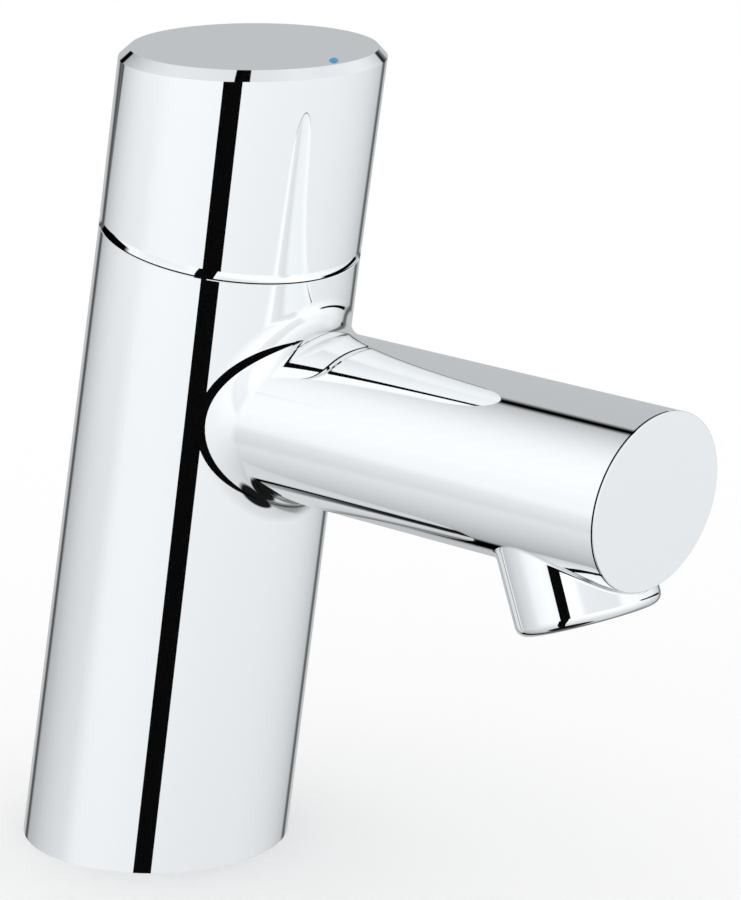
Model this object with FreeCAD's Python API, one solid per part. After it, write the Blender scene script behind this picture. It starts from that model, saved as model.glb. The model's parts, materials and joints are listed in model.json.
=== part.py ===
import FreeCAD, Part
import math
import os

# Basin tap with one supply: a leaning round body, a round rotary handle on top of it, a horizontal
# round spout and a short outlet nozzle. Millimetres. The origin is the middle of the base on the deck,
# +Z is up and +X points along the spout. "Axial" sizes run along the leaning axis of the body from
# the origin. Threads are plain cylinders at their major diameter.

os.makedirs("parts", exist_ok=True)

# Body
base_radius = 23.0
body_top_radius = 21.95
lean_angle = 10.25
wall = 3.2
rim_chamfer = 0.12
floor_thickness = 13.0
floor_lip = 1.5
lip_bore_radius = 8.0
hole_chamfer = 1.0

# Spout
spout_height = 82.3
spout_radius = 14.75
spout_reach = 112.95
spout_end_tilt = 6.6
spout_wall = 4.25
spout_blend = 5.5

# Cap on the spout's end
cap_lip = 0.45
cap_edge_radius = 0.4
cap_spigot_depth = 3.8
cap_spigot_step = 1.1

# Outlet nozzle: its rounding under the spout ends nozzle_land behind the cap
nozzle_land = 0.05
nozzle_radius = 11.9
nozzle_tilt = 20.5
nozzle_length = 23.5
nozzle_lip_radius = 1.8
nozzle_blend = 0.6
nozzle_passage_radius = 7.3

# Aerator
aerator_thread_radius = 9.25
aerator_depth = 8.5
aerator_recess = 0.6
aerator_wall = 1.3
aerator_seal_thickness = 1.2
aerator_ledge = 0.7
aerator_notch_width = 2.4
aerator_notch_depth = 1.4
aerator_notches = 4
regulator_thickness = 2.0
regulator_hole_radius = 0.8
regulator_holes = 12
regulator_hole_circle = 5.2
screen_thickness = 2.2
screen_cell = 1.9
screen_web = 0.35

# Base seal
gasket_setback = 3.5
gasket_width = 4.5
gasket_thickness = 1.6

# Tail: G1/2, with a relief groove between the fixing thread and the supply thread
pipe_thread_radius = 10.48
tail_bore_radius = 6.5
fixing_thread_length = 36.0
relief_width = 2.5
relief_depth = 1.1
supply_thread_length = 13.5
tail_end_chamfer = 0.8
tail_seal_inner_radius = 6.6
tail_seal_thickness = 1.5

# Valve seat in the body, axial: the seat lies seat_drop below the spout's axis, the rim above the valve
seat_drop = 7.6
seat_web_thickness = 6.0
seat_port_radius = 7.0
valve_chamber_length = 22.0
thread_boss_length = 7.5
recess_radius = 17.0
recess_depth = 6.0

# Valve
sleeve_radius = 9.6
sleeve_lift = 1.5
disc_radius = 8.0
disc_clearance = 0.05
disc_thickness = 3.0
disc_port_radius = 2.1
disc_port_circle = 4.4
seat_seal_thickness = 3.0
seat_seal_width = 1.8
window_height = 5.2
window_gap = 0.8
window_width = 11.0
spindle_bore_radius = 6.0
spindle_clearance = 0.05
driver_stem_radius = 3.2
driver_stem_length = 6.5
driver_plate_thickness = 2.0
tongue_length = 10.0
tongue_width = 3.0
tongue_depth = 1.2
friction_washer_thickness = 0.8
friction_washer_gap = 0.1
headpart_washer_thickness = 1.0
headpart_washer_width = 2.6
flange_radius = 13.5
flange_thickness = 1.5
hexagon_across_flats = 22.0
hexagon_height = 5.0
neck_radius = 8.0
neck_length = 5.5
ring_section = 1.9
ring_groove_depth = 1.4
ring_spacing = 4.0
ring_first = 5.5

# Stop at the neck's top: a crown on the neck and a tab on the clip allow a quarter turn
crown_height = 2.0
crown_wall = 1.1
clip_thickness = 1.2
clip_lift = 0.5
clip_groove_radius = 5.0
clip_gap = 0.3
tab_half_angle = 12.0
stop_clearance = 0.5
handle_travel = 90.0

# Splines between spindle and handle
spline_radius = 4.0
spline_depth = 0.4
spline_teeth = 20
spline_clearance = 0.04
spline_length = 12.0
spline_lift = 0.5

# Guide ring between body and handle
guide_thickness = 1.4
guide_depth = 5.5
guide_rise = 3.0
guide_clearance = 0.08

# Handle
handle_length = 33.0
handle_gap = 0.3
handle_wall = 2.75
handle_roof = 3.5
handle_chamfer = 1.65
skirt_groove_height = 1.35
skirt_groove_depth = 0.33
boss_wall = 2.5
insert_radius = 6.5
insert_height = 14.0
insert_lift = 0.8

# Grub screw through the back of the handle, above the insert's lower end
screw_lift = 5.2
screw_radius = 2.5
screw_length = 10.0
screw_tip = 0.7
screw_rib_wall = 2.2
socket_across_flats = 2.5
socket_depth = 3.5
cover_radius = 3.0
cover_depth = 1.5

# Index pip in the handle's top
mark_offset = 18.1
mark_radius = 0.8
mark_depth = 1.5
mark_rise = 0.5

# Clamp under a deck of the thickness drawn
deck_thickness = 15.0
washer_clearance = 0.5
clamp_rubber_radius = 20.0
clamp_rubber_thickness = 2.5
clamp_plate_radius = 19.0
clamp_plate_thickness = 1.8
nut_across_flats = 30.0
nut_flange_radius = 17.0
nut_flange_thickness = 1.5
nut_height = 7.0
nut_clearance = 0.05

# Reach of the tools that only cut, past what they cut, and how close counts as on a surface
past = 5.0
far = 200.0
tolerance = 0.01

ORIGIN = FreeCAD.Vector(0, 0, 0)
UP = FreeCAD.Vector(0, 0, 1)
SIDE = FreeCAD.Vector(0, 1, 0)
lean_radians = math.radians(lean_angle)
LEAN_AXIS = FreeCAD.Vector(math.sin(lean_radians), 0, math.cos(lean_radians))


def rod(radius, low, high):
    return Part.makeCylinder(radius, high - low, FreeCAD.Vector(0, 0, low))


def ring(inner, outer, low, high):
    return rod(outer, low, high).cut(rod(inner, low, high))


def prism(points, low, high):
    corners = [FreeCAD.Vector(x, y, low) for x, y in points]
    face = Part.Face(Part.makePolygon(corners + corners[:1]))
    return face.extrude(FreeCAD.Vector(0, 0, high - low))


def hexagon(across_flats, low, high):
    radius = across_flats / math.sqrt(3)
    turns = [math.radians(60 * side) for side in range(6)]
    return prism([(radius * math.cos(turn), radius * math.sin(turn)) for turn in turns], low, high)


def spun(outline):
    """A solid turned around the Z axis from a half outline of (radius, level) points."""
    corners = [FreeCAD.Vector(radius, 0, level) for radius, level in outline]
    face = Part.Face(Part.makePolygon(corners + corners[:1]))
    return face.revolve(ORIGIN, UP, 360)


def block(length, width, low, high):
    return Part.makeBox(length, width, high - low, FreeCAD.Vector(-length / 2, -width / 2, low))


def leaned(shape):
    """Puts a shape made around the Z axis on the leaning axis of the body."""
    turned = shape.copy()
    turned.rotate(ORIGIN, SIDE, lean_angle)
    return turned


def on_spout(shape):
    """Puts a shape made around the Z axis on the spout's axis, with its seam at the top."""
    turned = shape.copy()
    turned.rotate(ORIGIN, UP, 180)
    turned.rotate(ORIGIN, SIDE, 90)
    turned.translate(FreeCAD.Vector(0, 0, spout_height))
    return turned


def on_nozzle(shape):
    """Puts a shape made around the Z axis on the nozzle's axis, pointing out of the outlet."""
    turned = shape.copy()
    turned.rotate(ORIGIN, SIDE, 180 - nozzle_tilt)
    turned.translate(FreeCAD.Vector(nozzle_reach, 0, spout_height))
    return turned


def above(level):
    """Everything above a horizontal plane."""
    return block(2 * far, 2 * far, level, level + far)


def behind_end(setback):
    """Everything on the body's side of the spout's end plane, moved back along the spout."""
    side = Part.makeBox(far, 2 * far, 2 * far, FreeCAD.Vector(-far, -far, -far))
    side.rotate(ORIGIN, SIDE, spout_end_tilt)
    side.translate(FreeCAD.Vector(spout_reach - setback, 0, spout_height))
    return side


def body_radius_at(level):
    return base_radius + (body_top_radius - base_radius) * level / body_length


def body_cone(inset, low, high):
    """The body's outline between two axial levels, inset by a wall."""
    height = high - low
    start = FreeCAD.Vector(0, 0, low)
    return Part.makeCone(body_radius_at(low) - inset, body_radius_at(high) - inset, height, start)


def distance_to_axis(point, start, direction):
    return (point - start).cross(direction).Length


def edge_points(edge):
    first, last = edge.ParameterRange
    return [edge.valueAt(first + (last - first) * share / 4) for share in range(5)]


def blend(shape, radius, on_first, on_second):
    """Rounds the edges in which two outer surfaces meet. Each test takes a point."""
    edges = [
        edge
        for edge in shape.Edges
        if all(on_first(point) and on_second(point) for point in edge_points(edge))
    ]
    return shape.makeFillet(radius, edges)


def on_body_surface(point):
    level = point.dot(LEAN_AXIS)
    return abs(distance_to_axis(point, ORIGIN, LEAN_AXIS) - body_radius_at(level)) < tolerance


def on_spout_surface(point):
    start = FreeCAD.Vector(0, 0, spout_height)
    return abs(distance_to_axis(point, start, FreeCAD.Vector(1, 0, 0)) - spout_radius) < tolerance


def on_nozzle_surface(point):
    start = FreeCAD.Vector(nozzle_reach, 0, spout_height)
    direction = FreeCAD.Vector(math.sin(nozzle_tilt_radians), 0, -math.cos(nozzle_tilt_radians))
    return abs(distance_to_axis(point, start, direction) - nozzle_radius) < tolerance


def circle_at(shape, radius, level):
    """The round edges of a shape on the Z axis with this radius, at this height."""
    return [
        edge
        for edge in shape.Edges
        if isinstance(edge.Curve, Part.Circle)
        and abs(edge.Curve.Radius - radius) < tolerance
        and abs(edge.Curve.Center.z - level) < tolerance
    ]


# Levels along the leaning axis, from the seat upwards
seat_level = spout_height / math.cos(lean_radians) - seat_drop
chamber_top = seat_level + valve_chamber_length
boss_top = chamber_top + thread_boss_length
body_length = boss_top + recess_depth
fixed_disc_level = seat_level + seat_seal_thickness
moving_disc_level = fixed_disc_level + disc_thickness
driver_level = moving_disc_level + disc_thickness
plate_level = driver_level + driver_stem_length
friction_washer_level = plate_level + driver_plate_thickness
shoulder_level = friction_washer_level + friction_washer_thickness + friction_washer_gap
flange_level = boss_top + headpart_washer_thickness
hexagon_level = flange_level + flange_thickness
neck_level = hexagon_level + hexagon_height
neck_top = neck_level + neck_length
clip_level = neck_top + clip_lift
spline_level = neck_top + crown_height + spline_lift
spindle_top = spline_level + spline_length
insert_level = spline_level + insert_lift
screw_level = insert_level + screw_lift
handle_level = body_length + handle_gap
overall_height = (handle_level + handle_length) * math.cos(lean_radians)

# Radii that follow
gasket_outer_radius = base_radius - gasket_setback
gasket_inner_radius = gasket_outer_radius - gasket_width
spout_bore_radius = spout_radius - spout_wall
cap_spigot_radius = spout_bore_radius + cap_spigot_step
handle_bore_radius = body_top_radius - handle_wall
disc_bore_radius = disc_radius + disc_clearance
spindle_radius = spindle_bore_radius - spindle_clearance
boss_radius = insert_radius + boss_wall

# Where the spout's axis starts, on the body's axis
spout_start = spout_height * math.tan(lean_radians)

# Where the nozzle's axis crosses the spout's axis, and levels along the nozzle's axis
nozzle_tilt_radians = math.radians(nozzle_tilt)
end_drop = spout_radius * math.tan(math.radians(spout_end_tilt))
nozzle_front = ((nozzle_radius + nozzle_blend) / math.cos(nozzle_tilt_radians)
                + (spout_radius + nozzle_blend) * math.tan(nozzle_tilt_radians))
nozzle_reach = spout_reach - cap_lip - end_drop - nozzle_land - nozzle_front
aerator_seat = nozzle_length - aerator_depth
housing_start = aerator_seat + aerator_seal_thickness
housing_end = nozzle_length - aerator_recess
housing_bore_radius = aerator_thread_radius - aerator_wall
screen_start = housing_end - aerator_ledge - screen_thickness

# Levels along the tail
tail_top = floor_thickness - floor_lip - tail_seal_thickness
supply_thread_top = -fixing_thread_length - relief_width
tail_end = supply_thread_top - supply_thread_length


def outer_casting():
    rim_level = body_length - rim_chamfer
    trunk = leaned(spun([
        (0, -past), (body_radius_at(-past), -past), (body_radius_at(rim_level), rim_level),
        (body_radius_at(body_length) - rim_chamfer, body_length), (0, body_length)]))
    trunk.rotate(ORIGIN, LEAN_AXIS, 180)
    trunk = trunk.common(above(0))
    spout = on_spout(rod(spout_radius, spout_start, spout_reach + past)).common(behind_end(cap_lip))
    outline = blend(trunk.fuse(spout), spout_blend, on_body_surface, on_spout_surface)
    nozzle = rod(nozzle_radius, 0, nozzle_length)
    nozzle = nozzle.makeFillet(nozzle_lip_radius, circle_at(nozzle, nozzle_radius, nozzle_length))
    outline = outline.fuse(on_nozzle(nozzle))
    return blend(outline, nozzle_blend, on_spout_surface, on_nozzle_surface)


def body_casting():
    supply = leaned(body_cone(wall, 0, seat_level - seat_web_thickness)).common(above(floor_thickness))
    chamber = leaned(body_cone(wall, seat_level, chamber_top))
    port = leaned(rod(seat_port_radius, seat_level - seat_web_thickness, seat_level))
    valve_thread = leaned(rod(pipe_thread_radius, chamber_top, boss_top))
    recess = leaned(rod(recess_radius, boss_top, body_length + past))
    channel = on_spout(rod(spout_bore_radius, spout_start, spout_reach))
    counterbore = on_spout(rod(cap_spigot_radius, spout_reach - cap_spigot_depth, spout_reach + past))
    passage = on_nozzle(rod(nozzle_passage_radius, 0, aerator_seat))
    outlet = on_nozzle(rod(aerator_thread_radius, aerator_seat, nozzle_length + past))
    tail_hole = rod(pipe_thread_radius, -past, floor_thickness - floor_lip)
    tail_port = rod(lip_bore_radius, 0, floor_thickness + past)
    mouth = Part.makeCone(pipe_thread_radius + hole_chamfer, pipe_thread_radius, hole_chamfer)
    groove = ring(gasket_inner_radius, gasket_outer_radius, 0, gasket_thickness)
    casting = outer_casting()
    for space in (supply, chamber, port, valve_thread, recess, channel, counterbore, passage, outlet,
                  tail_hole, tail_port, mouth, groove):
        casting = casting.cut(space)
    return casting


def spout_end_cap():
    plate = on_spout(rod(spout_radius, spout_reach - 2 * past, spout_reach + past))
    plate = plate.common(behind_end(0)).cut(behind_end(cap_lip))
    front = max(plate.Faces, key=lambda face: face.CenterOfMass.x)
    plate = plate.makeFillet(cap_edge_radius, front.Edges)
    spigot = on_spout(rod(cap_spigot_radius, spout_reach - cap_spigot_depth, spout_reach + past))
    return plate.fuse(spigot.common(behind_end(cap_lip))).removeSplitter()


def base_gasket():
    return ring(gasket_inner_radius, gasket_outer_radius, 0, gasket_thickness)


def inlet_tail():
    tail = rod(pipe_thread_radius, tail_end, tail_top)
    relief_radius = pipe_thread_radius - relief_depth
    tail = tail.cut(ring(relief_radius, pipe_thread_radius + past, supply_thread_top, -fixing_thread_length))
    tail = tail.makeChamfer(tail_end_chamfer, circle_at(tail, pipe_thread_radius, tail_end))
    return tail.cut(rod(tail_bore_radius, tail_end, tail_top))


def tail_seal():
    return ring(tail_seal_inner_radius, pipe_thread_radius, tail_top, floor_thickness - floor_lip)


def half_openings(radius):
    """Two round ports, one each side of the axis, which the quarter turn opens or closes."""
    ports = [rod(disc_port_radius, 0, disc_thickness) for _ in range(2)]
    ports[0].translate(FreeCAD.Vector(radius, 0, 0))
    ports[1].translate(FreeCAD.Vector(-radius, 0, 0))
    return ports


def fixed_disc():
    disc = rod(disc_radius, 0, disc_thickness)
    for port in half_openings(disc_port_circle):
        disc = disc.cut(port)
    disc.translate(FreeCAD.Vector(0, 0, fixed_disc_level))
    return leaned(disc)


def tongue(clearance):
    size = tongue_length + 2 * clearance
    return block(size, tongue_width + 2 * clearance, driver_level - tongue_depth, driver_level)


def moving_disc():
    disc = rod(disc_radius, 0, disc_thickness)
    for port in half_openings(disc_port_circle):
        port.rotate(ORIGIN, UP, handle_travel)
        disc = disc.cut(port)
    disc.translate(FreeCAD.Vector(0, 0, moving_disc_level))
    return leaned(disc.cut(tongue(disc_clearance)))


def seat_seal():
    return leaned(ring(disc_radius - seat_seal_width, disc_radius, seat_level, fixed_disc_level))


def headpart_washer():
    start = pipe_thread_radius
    return leaned(ring(start, start + headpart_washer_width, boss_top, flange_level))


def stop_crown():
    """A ring on the neck's top, open over the clip tab's travel."""
    crown = ring(neck_radius - crown_wall, neck_radius, neck_top, neck_top + crown_height)
    opening = handle_travel + 2 * tab_half_angle + 2 * stop_clearance
    gap = Part.makeCylinder(
        neck_radius + past, crown_height, FreeCAD.Vector(0, 0, neck_top), UP, opening)
    gap.rotate(ORIGIN, UP, -tab_half_angle - stop_clearance)
    return crown.cut(gap)


def headpart_body():
    body = rod(sleeve_radius, seat_level + sleeve_lift, chamber_top)
    body = body.fuse(rod(pipe_thread_radius, chamber_top, flange_level))
    body = body.fuse(rod(flange_radius, flange_level, hexagon_level))
    body = body.fuse(hexagon(hexagon_across_flats, hexagon_level, neck_level))
    body = body.fuse(rod(neck_radius, neck_level, neck_top)).fuse(stop_crown())
    body = body.cut(rod(disc_bore_radius, seat_level, shoulder_level))
    body = body.cut(rod(spindle_bore_radius, shoulder_level, neck_top))
    window_start = driver_level + window_gap
    window = block(2 * (sleeve_radius + past), window_width, window_start, window_start + window_height)
    return leaned(body.cut(window))


def spline_profile(clearance, low, high):
    tip = spline_radius + clearance
    root = tip - spline_depth
    points = []
    for tooth in range(spline_teeth):
        for radius, share in ((tip, 0), (root, 0.5)):
            turn = 2 * math.pi * (tooth + share) / spline_teeth
            points.append((radius * math.cos(turn), radius * math.sin(turn)))
    return prism(points, low, high)


def ring_levels():
    first = shoulder_level + ring_first
    return [first, first + ring_spacing]


def spindle():
    body = tongue(0).fuse(rod(driver_stem_radius, driver_level, plate_level))
    body = body.fuse(rod(disc_radius, plate_level, friction_washer_level))
    body = body.fuse(rod(spindle_radius, friction_washer_level, spline_level))
    body = body.fuse(spline_profile(0, spline_level, spindle_top))
    for level in ring_levels():
        body = body.cut(ring(spindle_radius - ring_groove_depth, spindle_radius, level, level + ring_section))
    body = body.cut(ring(clip_groove_radius, spindle_radius, clip_level, clip_level + clip_thickness))
    return leaned(body)


def spindle_rings():
    inner = spindle_radius - ring_groove_depth
    return leaned(Part.makeCompound(
        [ring(inner, spindle_radius, level, level + ring_section) for level in ring_levels()]))


def spindle_clip():
    top = clip_level + clip_thickness
    clip = ring(clip_groove_radius, neck_radius - crown_wall - clip_gap, clip_level, top)
    tab = Part.makeCylinder(
        neck_radius, clip_thickness, FreeCAD.Vector(0, 0, clip_level), UP, 2 * tab_half_angle)
    tab.rotate(ORIGIN, UP, -tab_half_angle)
    return leaned(clip.fuse(tab.cut(rod(clip_groove_radius, clip_level, top))).removeSplitter())


def friction_washer():
    top = friction_washer_level + friction_washer_thickness
    return leaned(ring(spindle_bore_radius, disc_radius, friction_washer_level, top))


def guide_ring():
    inner = recess_radius - guide_thickness
    sleeve = ring(inner, recess_radius, body_length - guide_depth, body_length)
    collar = ring(inner, handle_bore_radius - guide_clearance, body_length, body_length + guide_rise)
    return leaned(sleeve.fuse(collar).removeSplitter())


def flat_ellipse(level, inset):
    """The handle's outline in a horizontal plane, inset by a chamfer."""
    centre = FreeCAD.Vector(level * math.tan(lean_radians), 0, level)
    long_half = body_top_radius / math.cos(lean_radians) - inset
    return Part.Wire(Part.Ellipse(centre, long_half, body_top_radius - inset).toShape())


def handle_outline():
    """The handle's outer form: flat horizontal top with a chamfer, and a groove above the skirt's edge."""
    shoulder = overall_height - handle_chamfer
    top = overall_height + 3 * past
    groove_top = handle_level + skirt_groove_height
    column = leaned(spun([
        (0, handle_level), (body_top_radius, handle_level),
        (body_top_radius - skirt_groove_depth, groove_top), (body_top_radius, groove_top),
        (body_top_radius, top), (0, top)]))
    crown = Part.makeLoft(
        [flat_ellipse(shoulder, 0), flat_ellipse(overall_height, handle_chamfer)], True, True)
    return column.cut(above(shoulder)).fuse(crown)


def across_handle(shape):
    """Puts a shape made around the Z axis on the grub screw's axis, which points out at the back."""
    turned = shape.copy()
    turned.rotate(ORIGIN, SIDE, -90)
    turned.translate(FreeCAD.Vector(0, 0, screw_level))
    return leaned(turned)


def handle_shell():
    ceiling = above(overall_height - handle_roof)
    pocket = leaned(rod(handle_bore_radius, handle_level, overall_height + past)).cut(ceiling)
    boss = leaned(rod(boss_radius, insert_level, overall_height + past)).cut(ceiling)
    rib = across_handle(rod(screw_radius + screw_rib_wall, insert_radius, handle_bore_radius + 1))
    shell = handle_outline().cut(pocket.cut(boss).cut(rib))
    shell = shell.cut(leaned(rod(insert_radius, insert_level, insert_level + insert_height)))
    shell = shell.cut(across_handle(rod(screw_radius, insert_radius - screw_tip, body_top_radius + past)))
    seat = rod(cover_radius, body_top_radius - cover_depth, body_top_radius + past)
    return shell.cut(across_handle(seat)).cut(mark_stem())


def mark_stem():
    stem = rod(mark_radius, overall_height - mark_depth, overall_height)
    centre = overall_height * math.tan(lean_radians)
    stem.translate(FreeCAD.Vector(centre + mark_offset, 0, 0))
    return stem


def cold_mark():
    """A pip with a domed top, pressed into the handle's flat."""
    dome_radius = (mark_radius ** 2 + mark_rise ** 2) / (2 * mark_rise)
    centre = overall_height * math.tan(lean_radians)
    ball = Part.makeSphere(
        dome_radius, FreeCAD.Vector(centre + mark_offset, 0, overall_height + mark_rise - dome_radius))
    return mark_stem().fuse(ball.common(above(overall_height))).removeSplitter()


def handle_insert():
    top = insert_level + insert_height
    body = rod(insert_radius, insert_level, top)
    body = leaned(body.cut(spline_profile(spline_clearance, insert_level, spindle_top + spline_lift)))
    return body.cut(across_handle(rod(screw_radius, insert_radius - screw_tip, insert_radius + past)))


def grub_screw():
    start = insert_radius - screw_tip
    body = rod(screw_radius, start, start + screw_length)
    socket = hexagon(socket_across_flats, start + screw_length - socket_depth, start + screw_length)
    return across_handle(body.cut(socket))


def screw_cover():
    plug = across_handle(rod(cover_radius, body_top_radius - cover_depth, body_top_radius + past))
    return plug.common(handle_outline())


def around_nozzle(shape, radius, turn):
    placed = shape.copy()
    placed.translate(FreeCAD.Vector(radius, 0, 0))
    placed.rotate(ORIGIN, UP, turn)
    return placed


def aerator_seal():
    return on_nozzle(ring(nozzle_passage_radius, aerator_thread_radius, aerator_seat, housing_start))


def aerator_housing():
    body = ring(housing_bore_radius, aerator_thread_radius, housing_start, housing_end)
    ledge = ring(housing_bore_radius - aerator_ledge, housing_bore_radius,
                 housing_end - aerator_ledge, housing_end)
    body = body.fuse(ledge).removeSplitter()
    notch_start = housing_end - aerator_notch_depth
    notch = block(2 * aerator_wall, aerator_notch_width, notch_start, housing_end + past)
    for place in range(aerator_notches):
        body = body.cut(around_nozzle(notch, aerator_thread_radius, 360 * place / aerator_notches))
    return on_nozzle(body)


def flow_regulator():
    top = housing_start + regulator_thickness
    plate = rod(housing_bore_radius, housing_start, top)
    for place in range(regulator_holes):
        hole = rod(regulator_hole_radius, housing_start, top)
        plate = plate.cut(around_nozzle(hole, regulator_hole_circle, 360 * place / regulator_holes))
    return on_nozzle(plate)


def aerator_screen():
    """Honeycomb plate: hexagonal cells in rows, as many as fit inside a solid rim."""
    end = screen_start + screen_thickness
    rows = int(housing_bore_radius / screen_cell) + 1
    step = screen_cell * math.sqrt(3) / 2
    cells = []
    for row in range(-rows, rows + 1):
        for column in range(-rows, rows + 1):
            x = screen_cell * (column + (row % 2) / 2)
            y = step * row
            if math.hypot(x, y) + screen_cell / 2 < housing_bore_radius - aerator_ledge:
                cell = hexagon(screen_cell - screen_web, screen_start, end)
                cell.rotate(ORIGIN, UP, 30)
                cell.translate(FreeCAD.Vector(x, y, 0))
                cells.append(cell)
    plate = rod(housing_bore_radius, screen_start, end)
    return on_nozzle(plate.cut(Part.makeCompound(cells)))


rubber_top = -deck_thickness
plate_top = rubber_top - clamp_rubber_thickness
nut_top = plate_top - clamp_plate_thickness
washer_bore_radius = pipe_thread_radius + washer_clearance


def clamp_rubber():
    return ring(washer_bore_radius, clamp_rubber_radius, plate_top, rubber_top)


def clamp_plate():
    return ring(washer_bore_radius, clamp_plate_radius, nut_top, plate_top)


def back_nut():
    body = hexagon(nut_across_flats, nut_top - nut_height, nut_top)
    body = body.fuse(rod(nut_flange_radius, nut_top - nut_flange_thickness, nut_top)).removeSplitter()
    return body.cut(rod(pipe_thread_radius + nut_clearance, nut_top - nut_height, nut_top))


makers = (
    body_casting, spout_end_cap, base_gasket, inlet_tail, tail_seal, headpart_body, headpart_washer,
    seat_seal, fixed_disc, guide_ring, aerator_seal, flow_regulator, aerator_housing, aerator_screen,
    spindle, moving_disc, friction_washer, spindle_rings, spindle_clip, handle_shell, handle_insert,
    cold_mark, grub_screw, screw_cover, clamp_rubber, clamp_plate, back_nut,
)

for make in makers:
    shape = make()
    shape.exportStep("parts/" + make.__name__ + ".step")
    print(make.__name__, len(shape.Solids), "solid", shape.isValid(), round(shape.Volume, 1), "mm3")
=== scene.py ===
import math

import bmesh
import bpy
from mathutils import Matrix, Vector
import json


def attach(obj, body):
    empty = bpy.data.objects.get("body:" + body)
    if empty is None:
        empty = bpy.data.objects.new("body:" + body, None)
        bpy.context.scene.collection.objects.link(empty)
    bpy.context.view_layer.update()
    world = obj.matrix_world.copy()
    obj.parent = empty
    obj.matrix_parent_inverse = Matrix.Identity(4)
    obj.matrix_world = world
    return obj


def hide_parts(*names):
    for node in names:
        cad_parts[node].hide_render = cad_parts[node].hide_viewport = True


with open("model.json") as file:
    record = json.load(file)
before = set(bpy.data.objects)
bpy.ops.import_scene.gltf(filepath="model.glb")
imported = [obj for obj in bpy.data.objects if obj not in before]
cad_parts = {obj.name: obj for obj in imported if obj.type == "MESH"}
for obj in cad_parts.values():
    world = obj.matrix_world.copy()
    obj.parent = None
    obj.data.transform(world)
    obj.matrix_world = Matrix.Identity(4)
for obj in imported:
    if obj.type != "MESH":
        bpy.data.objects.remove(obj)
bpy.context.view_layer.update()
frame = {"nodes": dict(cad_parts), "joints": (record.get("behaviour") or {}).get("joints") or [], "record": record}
scene = bpy.context.scene
print("frame loaded:", len(frame["nodes"]), "nodes")

# Shapes are worked out in millimetres and written to the meshes in metres.
mm = 0.001
joinWithin = 0.002  # corners this close, in millimetres, become one
turnJoint = next(joint for joint in frame["joints"] if joint["name"] == "handle_turn")
leanAxis = Vector(turnJoint["axis"]).normalized()
foreAxis = Vector((leanAxis.z, 0, -leanAxis.x))
sideAxis = Vector((0, 1, 0))
upAxis = Vector((0, 0, 1))
spoutAxis = Vector((1, 0, 0))


# Camera

photoCamera = {
    "place": (0.5508, -0.5267, 0.2845), "aim": (0.05201, 0.0, 0.07887), "lens": 184.15, "sensor": 36.0,
}


def setCamera(values):
    data = bpy.data.cameras.new("camera")
    data.lens = values["lens"]
    data.sensor_width = values["sensor"]
    camera = bpy.data.objects.new("camera", data)
    scene.collection.objects.link(camera)
    camera.location = values["place"]
    look = Vector(values["aim"]) - Vector(values["place"])
    camera.rotation_euler = look.to_track_quat("-Z", "Y").to_euler()
    scene.camera = camera


setCamera(photoCamera)
scene.view_settings.view_transform = "Standard"
print("camera set")


# Shader expressions

class Value:
    # A node socket that Python's operators can work with.

    def __init__(self, nodes, socket):
        self.nodes, self.socket = nodes, socket

    def maths(self, operation, *others):
        inputs = dict(enumerate((self, *others)))
        return self.nodes.add("ShaderNodeMath", {"operation": operation}, inputs)

    def __add__(self, other):
        return self.maths("ADD", other)

    def __sub__(self, other):
        return self.maths("SUBTRACT", other)

    def __mul__(self, other):
        return self.maths("MULTIPLY", other)

    def __truediv__(self, other):
        return self.maths("DIVIDE", other)

    def __rsub__(self, other):
        return self.nodes.add("ShaderNodeMath", {"operation": "SUBTRACT"}, {0: other, 1: self})

    __radd__ = __add__
    __rmul__ = __mul__


class Nodes:
    # Adds nodes to one tree: a node's settings first, then its values and links.

    def __init__(self, tree):
        self.tree = tree
        tree.nodes.clear()

    def add(self, kind, settings=None, inputs=None, output=0):
        node = self.tree.nodes.new(kind)
        for name, setting in (settings or {}).items():
            setattr(node, name, setting)
        for place, value in (inputs or {}).items():
            if isinstance(value, Value):
                self.tree.links.new(value.socket, node.inputs[place])
            else:
                node.inputs[place].default_value = value
        return Value(self, node.outputs[output]) if node.outputs else node

    def outputs(self, value):
        # All outputs of a value's node, by name.
        return {socket.name: Value(self, socket) for socket in value.socket.node.outputs}

    def split(self, vector):
        return [self.add("ShaderNodeSeparateXYZ", {}, {0: vector}, place) for place in range(3)]

    def ease(self, value, start, end):
        # A soft step, 0 before start and 1 past end.
        limits = {"Value": value, "From Min": start, "From Max": end}
        return self.add("ShaderNodeMapRange", {"interpolation_type": "SMOOTHSTEP"}, limits)


# Finishes

def newMaterial(name):
    material = bpy.data.materials.new(name)
    material.use_nodes = True
    return material, Nodes(material.node_tree)


def finishWith(nodes, inputs):
    shader = nodes.add("ShaderNodeBsdfPrincipled", {}, inputs)
    nodes.add("ShaderNodeOutputMaterial", {}, {"Surface": shader})


def noise(nodes, scale, detail=3.0, stretch=(1, 1, 1)):
    # A cloudy pattern from 0 to 1 on the piece's own coordinates, in patterns per metre.
    place = nodes.add("ShaderNodeTexCoord", output="Object")
    stretched = nodes.add("ShaderNodeVectorMath", {"operation": "MULTIPLY"}, {0: place, 1: stretch})
    return nodes.add("ShaderNodeTexNoise", {}, {"Vector": stretched, "Scale": scale, "Detail": detail})


def between(nodes, first, second, share):
    # A colour between two others. The node keeps its colours in sockets 6 and 7, and the result in 2.
    settings = {"data_type": "RGBA"}
    return nodes.add("ShaderNodeMix", settings, {0: share, 6: (*first, 1), 7: (*second, 1)}, output=2)


def bumped(nodes, height, distance):
    inputs = {"Height": height, "Distance": distance * mm, "Strength": 1.0}
    return nodes.add("ShaderNodeBump", {}, inputs)


chromeLook = {
    "light": (0.948, 0.955, 0.958), "dark": (0.935, 0.943, 0.947), "roughness": 0.012, "smudge": 0.02,
    "smudgeScale": 45.0, "ripple": 0.0004, "rippleScale": 70.0,
}


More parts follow.
